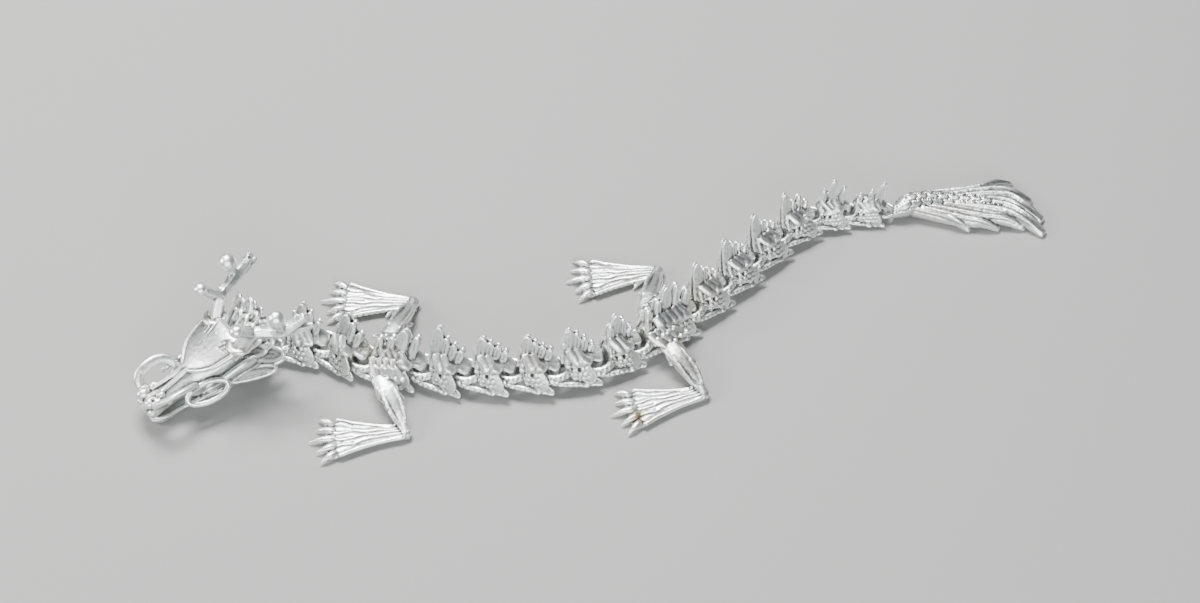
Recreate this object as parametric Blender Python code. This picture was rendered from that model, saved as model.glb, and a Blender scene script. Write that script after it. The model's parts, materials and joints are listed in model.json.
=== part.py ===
"""An articulated dragon of cast silver, lying stretched out on its chin, belly and paws.

Seventeen castings hook into each other from head to tail. A link has an eye in front, a scaly belly, a
smooth hood that ends in a hook through the next link's eye, a crest of leaves and leaves on its flanks.
Metres, +Z up. The head points toward -X, and what it lies on is at Z = 0.
"""

import math

import bmesh
import bpy
from mathutils import Matrix, Vector

# The chain: the distance from one eye's middle to the next
PITCH = 0.0087
SHOULDER_PITCH = 0.0117
HIP_PITCH = 0.0138
END_PITCH = 0.0077

# The coupling of two links
EYE_HOLE = 0.0023
EYE_WIRE = 0.0005
EYE_HEIGHT = 0.0024
HOOK_HALF = 0.00165
HOOK_DEEP = 0.0012
HOOK_AHEAD = 0.0003
GAP = 0.0004
BEND_ROOM = 0.0006

# A body link's cross-section, its crest and the leaves on its flanks
BODY_HALF = 0.0036
BODY_TOP = 0.0064
CREST_TOP = 0.0112
CREST_THICK = 0.0013
LEAF_THICK = 0.0011
FLANK_REACH = 0.0048

# The head, its antlers, its whisker loops, its cheek rings and its mane
HEAD_LENGTH = 0.0302
HEAD_HALF = 0.0052
HEAD_TOP = 0.0122
SNOUT_HALF = 0.0029
MOUTH_OPEN = 0.0007
JAW_THICK = 0.0017
CAP_THICK = 0.0026
NOSTRIL_RADIUS = 0.0014
EYEBALL_RADIUS = 0.0017
STRAP_THICK = 0.0020
JAW_LEAF_HALF = 0.0015
JAW_LEAF_THICK = 0.0012
ANTLER_LENGTH = 0.0136
ANTLER_THICK = 0.0021
LOOP_LONG = 0.0080
RING_LONG = 0.0082
LOOP_THICK = 0.0014
LOOP_SIDES = 9
MANE_REACH = 0.0088
MANE_THICK = 0.0016
MANE_SWEEP = 0.0066
MANE_LEAVES = 8
MANE_SPREAD = 82.0

# A leg: from hip to knee, from knee to knuckles, and the claws
HIP_AT = {"shoulder_link": 0.0044, "hip_link": 0.0056}
HIP_OUT = 0.0054
HIP_HEIGHT = 0.0044
THIGH_LENGTH = 0.0112
FOOT_LENGTH = 0.0150
KNUCKLE_HALF = 0.0046
CLAW_LENGTH = 0.0042
CLAW_HALF = 0.0008
CLAW_THICK = 0.0014
CLAW_ROOT = 0.0009
SPUR_LENGTH = 0.0046
SPUR_THICK = 0.0010
LEG_HALF = 0.0017
LEG_THICK = 0.0020

# The tail's end piece, with its tuft of hair
TAIL_LENGTH = 0.0322
TUFT_WIDTH = 0.0115
TUFT_THICK = 0.0034
LOCK_HALF = 0.0016
STEM_HALF = 0.0023
STEM_TOP = 0.0046

# The pose: where the head's hook goes down, and every casting's heading and roll in degrees
NECK_PIN = Vector((-0.0628, -0.0122, 0.0))
HEAD_HEADING = 35.0
HEAD_ROLL = 5.0
CHAIN = (
    # name, pitch, size, heading, roll, leaves of the crest
    ("neck_link_1", PITCH, 0.96, -6.0, 8.0, 4),
    ("neck_link_2", PITCH, 1.00, -23.0, 8.0, 4),
    ("shoulder_link", SHOULDER_PITCH, 1.00, -11.0, 5.0, 4),
    ("body_link_1", PITCH, 1.00, -9.0, 8.0, 4),
    ("body_link_2", PITCH, 1.00, 0.0, 11.0, 4),
    ("body_link_3", PITCH, 1.00, 2.0, 12.0, 4),
    ("body_link_4", PITCH, 1.00, 16.0, 12.0, 4),
    ("body_link_5", PITCH, 1.00, 32.0, 9.0, 4),
    ("hip_link", HIP_PITCH, 1.00, 38.0, 6.0, 5),
    ("tail_link_1", PITCH, 0.96, 45.0, 10.0, 4),
    ("tail_link_2", PITCH, 0.94, 45.0, 12.0, 4),
    ("tail_link_3", PITCH, 0.92, 48.0, 12.0, 4),
    ("tail_link_4", PITCH, 0.88, 38.0, 12.0, 4),
    ("tail_link_5", END_PITCH, 0.80, 13.0, 10.0, 3),
    ("tail_link_6", END_PITCH, 0.72, 5.0, 6.0, 3),
)
LEG_HEADINGS = {"shoulder_link": 1.5, "hip_link": 11.0}
TAIL_HEADING = -5.0
TAIL_SIZE = 0.66


def new_collection(name, parent, hidden):
    made = bpy.data.collections.new(name)
    parent.children.link(made)
    made.hide_render = hidden
    return made


def silver():
    """Bright polished silver, a little cool."""
    made = bpy.data.materials.new("polished_silver")
    made.use_nodes = True
    shader = made.node_tree.nodes["Principled BSDF"]
    shader.inputs["Base Color"].default_value = (0.88, 0.89, 0.90, 1.0)
    shader.inputs["Metallic"].default_value = 1.0
    shader.inputs["Roughness"].default_value = 0.24
    return made


def shape_from(mesh):
    """A helper object in the shapes collection, hidden from the render."""
    obj = bpy.data.objects.new(mesh.name, mesh)
    SHAPES.objects.link(obj)
    obj.hide_render = True
    obj.display_type = "WIRE"
    return obj


def loft(stations, sides, turn=0.0, point=None):
    """A closed body through unlike sections, each a centre and two half-axes. It may end in a point."""
    bm = bmesh.new()
    rings = []
    for centre, across, up in stations:
        angles = [2 * math.pi * (i + turn) / sides for i in range(sides)]
        rings.append([bm.verts.new(centre + across * math.cos(a) + up * math.sin(a)) for a in angles])
    for one, two in zip(rings, rings[1:]):
        for i in range(sides):
            j = (i + 1) % sides
            bm.faces.new((one[i], one[j], two[j], two[i]))
    bm.faces.new(rings[0])
    if point is None:
        bm.faces.new(rings[-1])
    else:
        apex, last = bm.verts.new(point), rings[-1]
        for i in range(sides):
            bm.faces.new((last[i], last[(i + 1) % sides], apex))
    bmesh.ops.recalc_face_normals(bm, faces=bm.faces)
    mesh = bpy.data.meshes.new("loft")
    bm.to_mesh(mesh)
    bm.free()
    return shape_from(mesh)


def flat_section(x, half, low, high, y=0.0):
    """An eight-sided section at x whose flat bottom is at z = low and flat top at z = high."""
    corner = 1 / math.cos(math.pi / 8)
    across = Vector((0, half * corner, 0))
    return Vector((x, y, (low + high) / 2)), across, Vector((0, 0, (high - low) / 2 * corner))


def drum(rows):
    """A body along X with a flat bottom. A row is x, half-width, lowest z and highest z."""
    return loft([flat_section(*row) for row in rows], 8, 0.5)


def leaf(root, tip, half, thick, flat_to):
    """A pointed leaf, widest past its middle, with a raised rib. Its flat side faces flat_to."""
    along = (tip - root).normalized()
    wide = flat_to.cross(along).normalized()
    out = along.cross(wide).normalized()
    belly = root.lerp(tip, 0.60)
    stations = ((root, wide * half * 0.85, out * thick / 2), (belly, wide * half, out * thick / 2 * 0.8))
    return loft(stations, 4, point=tip)


def wire(points, radii, cyclic=False):
    """A four-sided rod through points, as thick at each one as its radius says."""
    curve = bpy.data.curves.new("wire", "CURVE")
    curve.dimensions = "3D"
    curve.bevel_depth = 1.0
    curve.bevel_resolution = 0
    curve.use_fill_caps = not cyclic
    spline = curve.splines.new("POLY")
    spline.points.add(len(points) - 1)
    for point, place, radius in zip(spline.points, points, radii):
        point.co = (*place, 1.0)
        point.radius = radius
    spline.use_cyclic_u = cyclic
    obj = bpy.data.objects.new("wire", curve)
    SHAPES.objects.link(obj)
    graph = bpy.context.evaluated_depsgraph_get()
    mesh = bpy.data.meshes.new_from_object(obj.evaluated_get(graph))
    bpy.data.objects.remove(obj)
    bm = bmesh.new()
    bm.from_mesh(mesh)
    bmesh.ops.remove_doubles(bm, verts=bm.verts, dist=1e-6)
    bmesh.ops.recalc_face_normals(bm, faces=bm.faces)
    bm.to_mesh(mesh)
    bm.free()
    return shape_from(mesh)


def ball(centre, radius, stretch=(1.0, 1.0, 1.0)):
    bm = bmesh.new()
    size = Matrix.Diagonal((*stretch, 1.0))
    bmesh.ops.create_icosphere(bm, subdivisions=1, radius=radius, matrix=Matrix.Translation(centre) @ size)
    mesh = bpy.data.meshes.new("ball")
    bm.to_mesh(mesh)
    bm.free()
    return shape_from(mesh)


def eye(size):
    """The ring that the casting in front hooks into."""
    bpy.ops.mesh.primitive_torus_add(
        major_radius=(EYE_HOLE + EYE_WIRE) * size,
        minor_radius=EYE_WIRE * size,
        major_segments=10,
        minor_segments=4,
        location=(0, 0, EYE_HEIGHT * size),
    )
    made = bpy.context.object
    made.data.transform(made.matrix_world)
    made.matrix_world = Matrix.Identity(4)
    for held in list(made.users_collection):
        held.objects.unlink(made)
    SHAPES.objects.link(made)
    made.hide_render = True
    made.display_type = "WIRE"
    return made


def under_hood(eye_size):
    """The height of the hood's underside over the next casting's eye."""
    return (EYE_HEIGHT + EYE_WIRE) * eye_size + BEND_ROOM + GAP


def hook_sections(pin, eye_size):
    """The hood's rear, turning down through the next casting's eye at x = pin."""
    under, half, deep = under_hood(eye_size), HOOK_HALF * eye_size, HOOK_DEEP * eye_size
    hole = EYE_HEIGHT * eye_size
    rows = (
        # x, z, slope down in degrees, half-width and half-thickness as shares of the hook's
        (pin - 0.9 * deep, under + 0.72 * deep, 16, 1.45, 0.76),
        (pin + 0.2 * deep, under - 0.16 * deep, 52, 1.18, 0.90),
        (pin, hole, 86, 1.00, 1.00),
        (pin - 0.3 * deep, hole - 1.20 * deep, 104, 0.60, 0.55),
    )
    corner = 1 / math.cos(math.pi / 8)
    made = []
    for x, z, slope, wide, thick in rows:
        tilt = math.radians(slope)
        up = Vector((math.sin(tilt), 0, math.cos(tilt))) * deep * thick * corner
        made.append((Vector((x - HOOK_AHEAD * eye_size, 0, z)), Vector((0, half * wide * corner, 0)), up))
    return made


def link_body(pitch, size, next_size):
    """Belly, hood and hook in one: the belly stops short of the next link's eye and the hood reaches over it."""
    half, top = BODY_HALF * size, BODY_TOP * size
    front = (EYE_HOLE + 0.6 * EYE_WIRE) * size
    back = pitch - (EYE_HOLE + 2 * EYE_WIRE) * next_size - GAP
    reach = pitch - back
    under = under_hood(next_size)
    rows = (
        (front, 0.66 * half, 0.16 * top, 0.74 * top),
        (front + 0.32 * (back - front), half, 0, top),
        (back, 0.92 * half, 0, 0.95 * top),
        (back + 0.02 * reach, 0.86 * half, under, 0.92 * top),
        (back + 0.40 * reach, 0.84 * half, under, under + 1.6 * HOOK_DEEP * size),
    )
    stations = [flat_section(*row) for row in rows] + hook_sections(pitch, next_size)
    return loft(stations, 8, 0.5)


def leaf_row(feet, dips, tips, thick, flat_to):
    """A row of leaves grown together at their feet and thin at their tips. Its flat side faces flat_to.

    feet are the ends of the row's foot, which lies inside the body. A dip lies before, between and after tips.
    """
    bm = bmesh.new()
    outline = [(feet[0], 1.0), (dips[0], 0.7)]
    for tip, dip in zip(tips, dips[1:]):
        outline += [(tip, 0.3), (dip, 0.8)]
    outline.append((feet[1], 1.0))
    sides = []
    for way in (0.5, -0.5):
        sides.append([bm.verts.new(point + flat_to * way * thick * share) for point, share in outline])
    last = len(outline) - 1
    for side in sides:
        bm.faces.new([side[0], *side[1:last:2], side[last]])
        for i in range(2, last, 2):
            bm.faces.new((side[i - 1], side[i], side[i + 1]))
    one, two = sides
    for i in range(len(outline)):
        j = (i + 1) % len(outline)
        bm.faces.new((one[i], one[j], two[j], two[i]))
    bmesh.ops.triangulate(bm, faces=bm.faces)
    bmesh.ops.recalc_face_normals(bm, faces=bm.faces)
    mesh = bpy.data.meshes.new("leaf_row")
    bm.to_mesh(mesh)
    bm.free()
    return shape_from(mesh)


def crest(front, back, size, leaves):
    """The row of leaves on the back: the first is the tallest and broadest, and they sink toward the tail."""
    top, foot, unit = CREST_TOP * size, 0.66 * BODY_TOP * size, PITCH * size
    step = (back - front) / (leaves - 1)
    tips = []
    for i in range(leaves):
        share = i / (leaves - 1)
        lean = (0.03 + 0.12 * share) * unit
        tips.append(Vector((front + step * i + lean, 0, top * (1.0 - 0.22 * share**1.4))))
    dips = [Vector((front - 0.15 * unit, 0, 0.66 * top))]
    for one, two in zip(tips, tips[1:]):
        dips.append(one.lerp(two, 0.45) - Vector((0.02 * unit, 0, 0.24 * top)))
    dips.append(Vector((tips[-1].x + 0.05 * unit, 0, 0.55 * top)))
    feet = (Vector((front - 0.03 * unit, 0, foot)), Vector((back + 0.05 * unit, 0, foot - 0.10 * top)))
    return leaf_row(feet, dips, tips, CREST_THICK * size, Vector((0, 1, 0)))


def flank_leaves(front, back, size, side):
    """Two low leaves on one side, swept back and out over what the dragon lies on."""
    half, top, reach, unit = BODY_HALF * size, BODY_TOP * size, FLANK_REACH * size, PITCH * size

    def at(x, out, z):
        return Vector((x, side * out, z * top))

    swept = 0.40 * unit
    feet = (at(front - 0.03 * unit, 0.60 * half, 0.34), at(back + 0.05 * unit, 0.60 * half, 0.30))
    dips = (
        at(front - 0.07 * unit, 0.96 * half, 0.14),
        at(front + 0.65 * swept, 1.04 * half, 0.15),
        at(back + 0.60 * swept, 0.80 * half, 0.20),
    )
    tips = (at(front + 0.62 * swept, 0.98 * reach, 0.07), at(back + swept, reach, 0.06))
    flat_to = Vector((0, side, 1.6)).normalized()
    return leaf_row(feet, dips, tips, LEAF_THICK * size, flat_to)


def link_shapes(pitch, size, next_size, leaves):
    """A link in its own frame: its eye's middle is over the origin and its hook is at x = pitch."""
    unit = PITCH * size
    front = (EYE_HOLE + 0.6 * EYE_WIRE) * size
    back = pitch - (EYE_HOLE + 2 * EYE_WIRE) * next_size - GAP
    shapes = [link_body(pitch, size, next_size), eye(size)]
    shapes.append(crest(front + 0.05 * unit, pitch - 0.26 * unit, size, leaves))
    for side in (1, -1):
        shapes.append(flank_leaves(front + 0.30 * (back - front), front + 0.88 * (back - front), size, side))
    return shapes


def leg(side, root, floor, turn):
    """A strap-like thigh, a sharp knee, and a long flat foot that widens to the knuckles and five claws.

    side is 1 for the far leg and -1 for the near one, root is where the hip is, floor is the height of what
    the foot lies on, and turn takes directions from the leg's own frame to the casting's.
    """
    up = turn @ Vector((0, 0, 1))
    sole = LEG_THICK / 2

    def way(degrees):
        angle = math.radians(degrees)
        return turn @ Vector((math.cos(angle), side * math.sin(angle), 0))

    hip = turn @ root
    knee = hip + way(66) * THIGH_LENGTH
    knee += up * (floor + 1.2 * sole - root.z)
    inner = hip - way(66) * 0.30 * THIGH_LENGTH
    stations = []
    for share, angle, wide, deep in ((-0.30, 156, 1.15, 1.30), (0.25, 156, 1.20, 1.15), (0.70, 152, 0.80, 1.0)):
        centre = inner if share < 0 else hip.lerp(knee, share)
        stations.append((centre, way(angle) * LEG_HALF * wide, up * sole * deep))
    stations.append((knee + way(66) * 0.5 * LEG_HALF, way(120) * LEG_HALF * 0.70, up * sole * 0.85))
    thigh = loft(stations, 6)
    toward = way(175)
    across = way(85)
    ankle = knee - up * 0.35 * sole
    corner = 1 / math.cos(math.pi / 6)
    rows = ((-0.05, 0.26, 1.0), (0.22, 0.26, 0.95), (0.60, 0.50, 0.80), (0.88, 0.94, 0.85), (1.0, 0.92, 0.7))
    stations = []
    for share, wide, deep in rows:
        centre = ankle + toward * share * FOOT_LENGTH + up * sole * (deep - 0.85)
        stations.append((centre, across * KNUCKLE_HALF * wide, up * sole * deep * corner))
    foot = loft(stations, 6)
    shapes = [thigh, foot]
    knuckles = ankle + toward * 0.97 * FOOT_LENGTH
    for spread, reach in ((-0.92, 0.80), (-0.48, 0.95), (0.0, 1.10), (0.47, 0.98), (0.92, 0.85)):
        claw = way(175 - 24 * spread)
        start = knuckles + across * spread * 0.92 * KNUCKLE_HALF - claw * CLAW_ROOT
        end = start + claw * (CLAW_LENGTH * reach + CLAW_ROOT) - up * 0.45 * sole
        shapes.append(leaf(start, end, CLAW_HALF, CLAW_THICK, up))
    spur = ankle + toward * 0.16 * FOOT_LENGTH
    spur_tip = spur + way(222) * SPUR_LENGTH - up * 0.3 * sole
    shapes.append(leaf(spur, spur_tip, CLAW_HALF, SPUR_THICK, up))
    return shapes


def leg_pair(heading, roll, legs_heading, along, size):
    """Both legs of a casting, flat on what the dragon lies on whatever the casting's own roll."""
    level = Matrix.Rotation(math.radians(roll), 3, "X")
    hips_turn = Matrix.Rotation(math.radians((legs_heading - heading) / 2), 3, "Z")
    legs_turn = Matrix.Rotation(math.radians(legs_heading - heading), 3, "Z")
    floor = -BODY_HALF * size * math.sin(math.radians(roll))
    shapes = []
    for side in (1, -1):
        root = Vector((along, 0, HIP_HEIGHT)) + hips_turn @ Vector((0, side * HIP_OUT, 0))
        shapes += leg(side, legs_turn.inverted() @ root, floor, level @ legs_turn)
    return shapes


def head_shapes(next_size):
    """The head in its own frame: its hook at the origin, its snout toward -X."""
    long, half, top = HEAD_LENGTH, HEAD_HALF, HEAD_TOP
    mouth = JAW_THICK + MOUTH_OPEN
    under = under_hood(next_size)
    skull = [
        flat_section(-1.02 * long, 0.70 * SNOUT_HALF, 1.12 * mouth, 0.44 * top),
        flat_section(-0.97 * long, SNOUT_HALF, mouth, 0.56 * top),
        flat_section(-0.90 * long, 0.86 * SNOUT_HALF, mouth, 0.55 * top),
        flat_section(-0.76 * long, 0.66 * SNOUT_HALF, mouth, 0.64 * top),
        flat_section(-0.66 * long, 0.66 * half, 0.13 * top, 0.74 * top),
        flat_section(-0.50 * long, 0.84 * half, 0.08 * top, 0.86 * top),
        flat_section(-0.34 * long, 0.86 * half, 0.08 * top, 0.88 * top),
        flat_section(-0.17 * long, 0.62 * half, 0.95 * under, 0.62 * top),
    ]
    jaw = drum(
        (
            (-0.98 * long, 0.60 * SNOUT_HALF, 0.24 * JAW_THICK, 0.9 * JAW_THICK),
            (-0.92 * long, 0.88 * SNOUT_HALF, 0, JAW_THICK),
            (-0.76 * long, 0.80 * SNOUT_HALF, 0, JAW_THICK),
            (-0.38 * long, 0.66 * half, 0, 1.8 * JAW_THICK),
        )
    )
    cap_rows = (
        # along and up the head, how wide and how thick
        (-0.68, 0.26, 0.73, 0.46),
        (-0.58, 0.88, 0.83, 0.84),
        (-0.44, 1.08, 0.95, 1.0),
        (-0.33, 1.02, 1.02, 0.70),
    )
    stations = []
    for x, wide, z, deep in cap_rows:
        up = Vector((0, 0, deep * CAP_THICK / 2))
        stations.append((Vector((x * long, 0, z * top)), Vector((0, wide * half, 0)), up))
    cap = loft(stations, 8)
    shapes = [loft(skull + hook_sections(0.0, next_size), 8, 0.5), jaw, cap]
    for side in (1, -1):
        shapes += head_side(side) + antler(side)
    return shapes + mane()


def head_side(side):
    """What the head has on each side: nostril, eye, whisker loop, cheek ring, strap and two jaw leaves."""
    band = LOOP_THICK / 2

    def at(x, y, z):
        return Vector((x * HEAD_LENGTH, side * y * HEAD_HALF, z * HEAD_TOP))

    shapes = [
        ball(at(-0.97, 0.29, 0.52), NOSTRIL_RADIUS, (1.1, 0.9, 0.8)),
        ball(at(-0.585, 0.81, 0.50), EYEBALL_RADIUS),
    ]
    loop, ring = [], []
    for i in range(LOOP_SIDES):
        c, s = math.cos(2 * math.pi * i / LOOP_SIDES), math.sin(2 * math.pi * i / LOOP_SIDES)
        rise = (1 + s) / 2
        loop.append(at(-0.825, 0.35 + 0.65 * rise, 0.41 + 0.34 * rise) - Vector((0.5 * LOOP_LONG * c, 0, 0)))
        along = Vector((RING_LONG * (0.5 * c + 0.1 * s), 0, 0))
        ring.append(at(-0.63, 1.08 - 0.21 * s + 0.15 * c, 0.49 + 0.115 * s) + along)
    shapes.append(wire(loop, [band] * LOOP_SIDES, cyclic=True))
    shapes.append(wire(ring, [0.9 * band] * LOOP_SIDES, cyclic=True))
    strap = (at(-0.50, 1.06, 0.58), at(-0.30, 1.04, 0.66), at(-0.12, 0.58, 0.50))
    shapes.append(wire(strap, [share * STRAP_THICK for share in (0.45, 0.50, 0.40)]))
    outward = Vector((0, side, 0.3))
    shapes.append(leaf(at(-0.46, 0.69, 0.36), at(-0.15, 1.15, 0.28), JAW_LEAF_HALF, JAW_LEAF_THICK, outward))
    shapes.append(leaf(at(-0.36, 0.65, 0.48), at(-0.08, 1.12, 0.40), 0.87 * JAW_LEAF_HALF, JAW_LEAF_THICK, outward))
    return shapes


def antler(side):
    """The antler sweeps back and out from behind the brow, with a collar, two knobbed tines and a forked palm."""
    base = Vector((-0.345 * HEAD_LENGTH, side * 0.85 * HEAD_HALF, 1.04 * HEAD_TOP))
    thick = ANTLER_THICK / 2

    def at(x, y, z):
        return base + Vector((x, side * y, z)) * ANTLER_LENGTH

    root, fork, palm = at(0.05, 0.06, 0.04), at(0.20, 0.14, 0.24), at(0.56, 0.34, 0.24)
    wide, deep = Vector((1.7 * thick, 0, -0.2 * thick)), Vector((0, 1.5 * thick, 0))
    beam = (at(-0.10, -0.06, -0.20), root, fork, palm, at(0.90, 0.44, 0.40))
    return [
        wire(beam, (1.1 * thick, 1.1 * thick, thick, 1.15 * thick, 0.7 * thick)),
        loft(((at(-0.02, 0.0, -0.06), wide, deep), (at(0.02, 0.02, 0.05), wide, deep)), 6),
        wire((fork, at(0.00, 0.16, 0.40), at(-0.07, 0.18, 0.50)), (0.9 * thick, 0.85 * thick, 0.9 * thick)),
        wire((palm, at(0.49, 0.36, 0.50)), (0.85 * thick, 0.8 * thick)),
        ball(at(0.48, 0.36, 0.54), 1.35 * thick),
        wire((palm, at(0.98, 0.48, 0.20)), (0.95 * thick, 0.5 * thick)),
    ]


def mane():
    """Leaves that fan up and back from behind the cap, grown together at their feet."""
    middle = Vector((-0.30 * HEAD_LENGTH, 0, 0.54 * HEAD_TOP))
    swept = Vector((MANE_SWEEP, 0, 0))

    def at(degrees, reach):
        angle = math.radians(degrees)
        return middle + Vector((0, math.sin(angle), math.cos(angle))) * reach * MANE_REACH + swept * (reach - 0.25)

    step = 2 * MANE_SPREAD / MANE_LEAVES
    tips = [at(-MANE_SPREAD + step * (i + 0.5), 1.0 if i % 2 else 1.12) for i in range(MANE_LEAVES)]
    dips = [at(-MANE_SPREAD + step * i, 0.62) for i in range(MANE_LEAVES + 1)]
    feet = (at(-MANE_SPREAD, 0.25), at(MANE_SPREAD, 0.25))
    return [leaf_row(feet, dips, tips, MANE_THICK, Vector((1, 0, -0.4)).normalized())]


def tail_shapes(size):
    """The tail's end: a tapering scaly stem that ends in a flat tuft of wavy locks."""
    length, width, half, top = TAIL_LENGTH, TUFT_WIDTH, STEM_HALF, STEM_TOP
    front = (EYE_HOLE + 0.6 * EYE_WIRE) * size
    stem = drum(
        (
            (front, 0.75 * half, 0.09 * top, 0.70 * top),
            (0.13 * length, 1.05 * half, 0, top, 0.10 * width),
            (0.27 * length, 0.95 * half, 0, 0.92 * top, 0.22 * width),
            (0.42 * length, 0.80 * half, 0, 0.80 * top, 0.26 * width),
            (0.60 * length, 0.80 * half, 0, 0.76 * top, 0.28 * width),
            (0.78 * length, 0.50 * half, 0.09 * top, 0.62 * top, 0.24 * width),
        )
    )
    shapes = [stem, eye(size)]
    locks = (
        # each lock's start along the tail, then how far out it swells, where it ends and how far out it ends
        (0.22, 0.52, 0.80, 0.86),
        (0.30, 0.50, 0.92, 0.50),
        (0.34, 0.42, 0.99, 0.10),
        (0.32, 0.22, 1.00, -0.20),
        (0.26, 0.04, 0.88, -0.08),
        (0.20, -0.06, 0.72, -0.14),
        (0.12, -0.02, 0.54, -0.20),
    )
    for i, (start, swell, end, out) in enumerate(locks):
        root = Vector((start * length, (0.31 - 0.043 * i) * width, (0.50 + 0.017 * i) * TUFT_THICK))
        belly = start + 0.58 * (end - start)
        middle = Vector((belly * length, swell * width, (0.49 - 0.011 * i) * TUFT_THICK))
        bend, bent_out = start + 0.82 * (end - start), 0.55 * swell + 0.50 * out
        knee = Vector((bend * length, bent_out * width, 0.43 * TUFT_THICK))
        tip = Vector((end * length, out * width, 0.12 * TUFT_THICK))
        stations = []
        for place, ahead, fat, deep in ((root, middle, 0.8, 1.0), (middle, knee, 1.1, 0.96), (knee, tip, 0.9, 0.84)):
            across = (ahead - place).normalized().cross(Vector((0, 0, 1)))
            stations.append((place, across * LOCK_HALF * fat, Vector((0, 0, 0.5 * TUFT_THICK * deep))))
        shapes.append(loft(stations, 4, point=tip))
    return shapes


def fuse(name, shapes, place):
    """One casting: the shapes joined into one closed body, laid down so that its lowest point is at Z = 0."""
    first, others = shapes[0], new_collection(name + "_shapes", SHAPES, True)
    for shape in shapes[1:]:
        SHAPES.objects.unlink(shape)
        others.objects.link(shape)
    join = first.modifiers.new("join", "BOOLEAN")
    join.operation = "UNION"
    join.operand_type = "COLLECTION"
    join.collection = others
    graph = bpy.context.evaluated_depsgraph_get()
    mesh = bpy.data.meshes.new_from_object(first.evaluated_get(graph))
    for shape in shapes:
        bpy.data.objects.remove(shape, do_unlink=True)
    bpy.data.collections.remove(others)
    mesh.name = name
    mesh.materials.clear()
    mesh.materials.append(SILVER)
    mesh.shade_smooth()
    mesh.set_sharp_from_angle(angle=math.radians(38))
    casting = bpy.data.objects.new(name, mesh)
    DRAGON.objects.link(casting)
    lowest = min((place @ v.co).z for v in mesh.vertices)
    casting.matrix_world = Matrix.Translation((0, 0, -lowest)) @ place
    return casting


def placed(pin, heading, roll):
    turned = Matrix.Rotation(math.radians(heading), 4, "Z")
    return Matrix.Translation(pin) @ turned @ Matrix.Rotation(math.radians(-roll), 4, "X")


def build():
    castings = [fuse("head", head_shapes(CHAIN[0][2]), placed(NECK_PIN, HEAD_HEADING, HEAD_ROLL))]
    pin = NECK_PIN.copy()
    next_sizes = [row[2] for row in CHAIN[1:]] + [TAIL_SIZE]
    for (name, pitch, size, heading, roll, leaves), next_size in zip(CHAIN, next_sizes):
        shapes = link_shapes(pitch, size, next_size, leaves)
        if name in LEG_HEADINGS:
            shapes += leg_pair(heading, roll, LEG_HEADINGS[name], HIP_AT[name], size)
        castings.append(fuse(name, shapes, placed(pin, heading, roll)))
        pin += Matrix.Rotation(math.radians(heading), 3, "Z") @ Vector((pitch, 0, 0))
    castings.append(fuse("tail_tuft", tail_shapes(TAIL_SIZE), placed(pin, TAIL_HEADING, 0.0)))
    return castings


def centre(castings):
    """Moves the dragon so that the middle of its box is over the origin, and says how far it moved."""
    points = [casting.matrix_world @ vertex.co for casting in castings for vertex in casting.data.vertices]
    middle = [(min(p[i] for p in points) + max(p[i] for p in points)) / 2 for i in (0, 1)]
    shift = Vector((-middle[0], -middle[1], 0))
    for casting in castings:
        casting.matrix_world = Matrix.Translation(shift) @ casting.matrix_world
    return shift


for obj in list(bpy.data.objects):
    bpy.data.objects.remove(obj, do_unlink=True)
DRAGON = new_collection("silver_dragon_figurine", bpy.context.scene.collection, False)
SHAPES = new_collection("shapes", bpy.context.scene.collection, True)
SILVER = silver()
SHIFT = centre(build())
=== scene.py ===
"""The dressed dragon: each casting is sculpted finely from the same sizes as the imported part's own solids.

Shapes are made in millimetres in each casting's own frame, joined by a voxel remesh and given their low
relief. Each casting is then set down where the part has it.
"""

import json
import math

import bpy
import numpy as np
from mathutils import Matrix, Vector, noise

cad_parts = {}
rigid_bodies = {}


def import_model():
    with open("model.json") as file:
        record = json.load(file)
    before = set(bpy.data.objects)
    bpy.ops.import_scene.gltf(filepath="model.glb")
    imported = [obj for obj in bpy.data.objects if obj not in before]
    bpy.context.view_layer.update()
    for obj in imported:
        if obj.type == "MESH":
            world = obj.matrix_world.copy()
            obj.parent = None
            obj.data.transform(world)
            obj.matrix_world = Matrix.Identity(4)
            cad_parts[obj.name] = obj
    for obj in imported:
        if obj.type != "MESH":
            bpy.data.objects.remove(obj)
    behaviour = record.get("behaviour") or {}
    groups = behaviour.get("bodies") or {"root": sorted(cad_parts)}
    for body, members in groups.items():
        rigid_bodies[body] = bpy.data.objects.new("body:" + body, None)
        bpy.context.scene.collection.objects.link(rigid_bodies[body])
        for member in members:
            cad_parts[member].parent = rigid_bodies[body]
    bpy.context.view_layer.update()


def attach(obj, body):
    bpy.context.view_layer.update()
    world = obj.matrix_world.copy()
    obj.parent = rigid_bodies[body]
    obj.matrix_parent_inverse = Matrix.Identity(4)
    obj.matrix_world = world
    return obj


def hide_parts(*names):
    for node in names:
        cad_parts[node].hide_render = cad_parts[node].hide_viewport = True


# The part's own sizes, in millimetres
PITCH, SHOULDER_PITCH, HIP_PITCH, END_PITCH = 8.7, 11.7, 13.8, 7.7
EYE_HOLE, EYE_WIRE, EYE_HEIGHT = 2.3, 0.5, 2.4
HOOK_HALF, HOOK_DEEP, HOOK_AHEAD, GAP, BEND_ROOM = 1.65, 1.2, 0.3, 0.4, 0.6
BODY_HALF, BODY_TOP, CREST_TOP = 3.6, 6.4, 11.2
LEAF_THICK, FLANK_REACH = 1.1, 4.8
HEAD_LENGTH, HEAD_HALF, HEAD_TOP, SNOUT_HALF = 30.2, 5.2, 12.2, 2.9
MOUTH_OPEN, JAW_THICK, CAP_THICK = 0.7, 1.7, 2.6
NOSTRIL_RADIUS, EYEBALL_RADIUS, STRAP_THICK = 1.4, 1.7, 2.0
JAW_LEAF_HALF, JAW_LEAF_THICK = 1.5, 1.2
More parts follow.
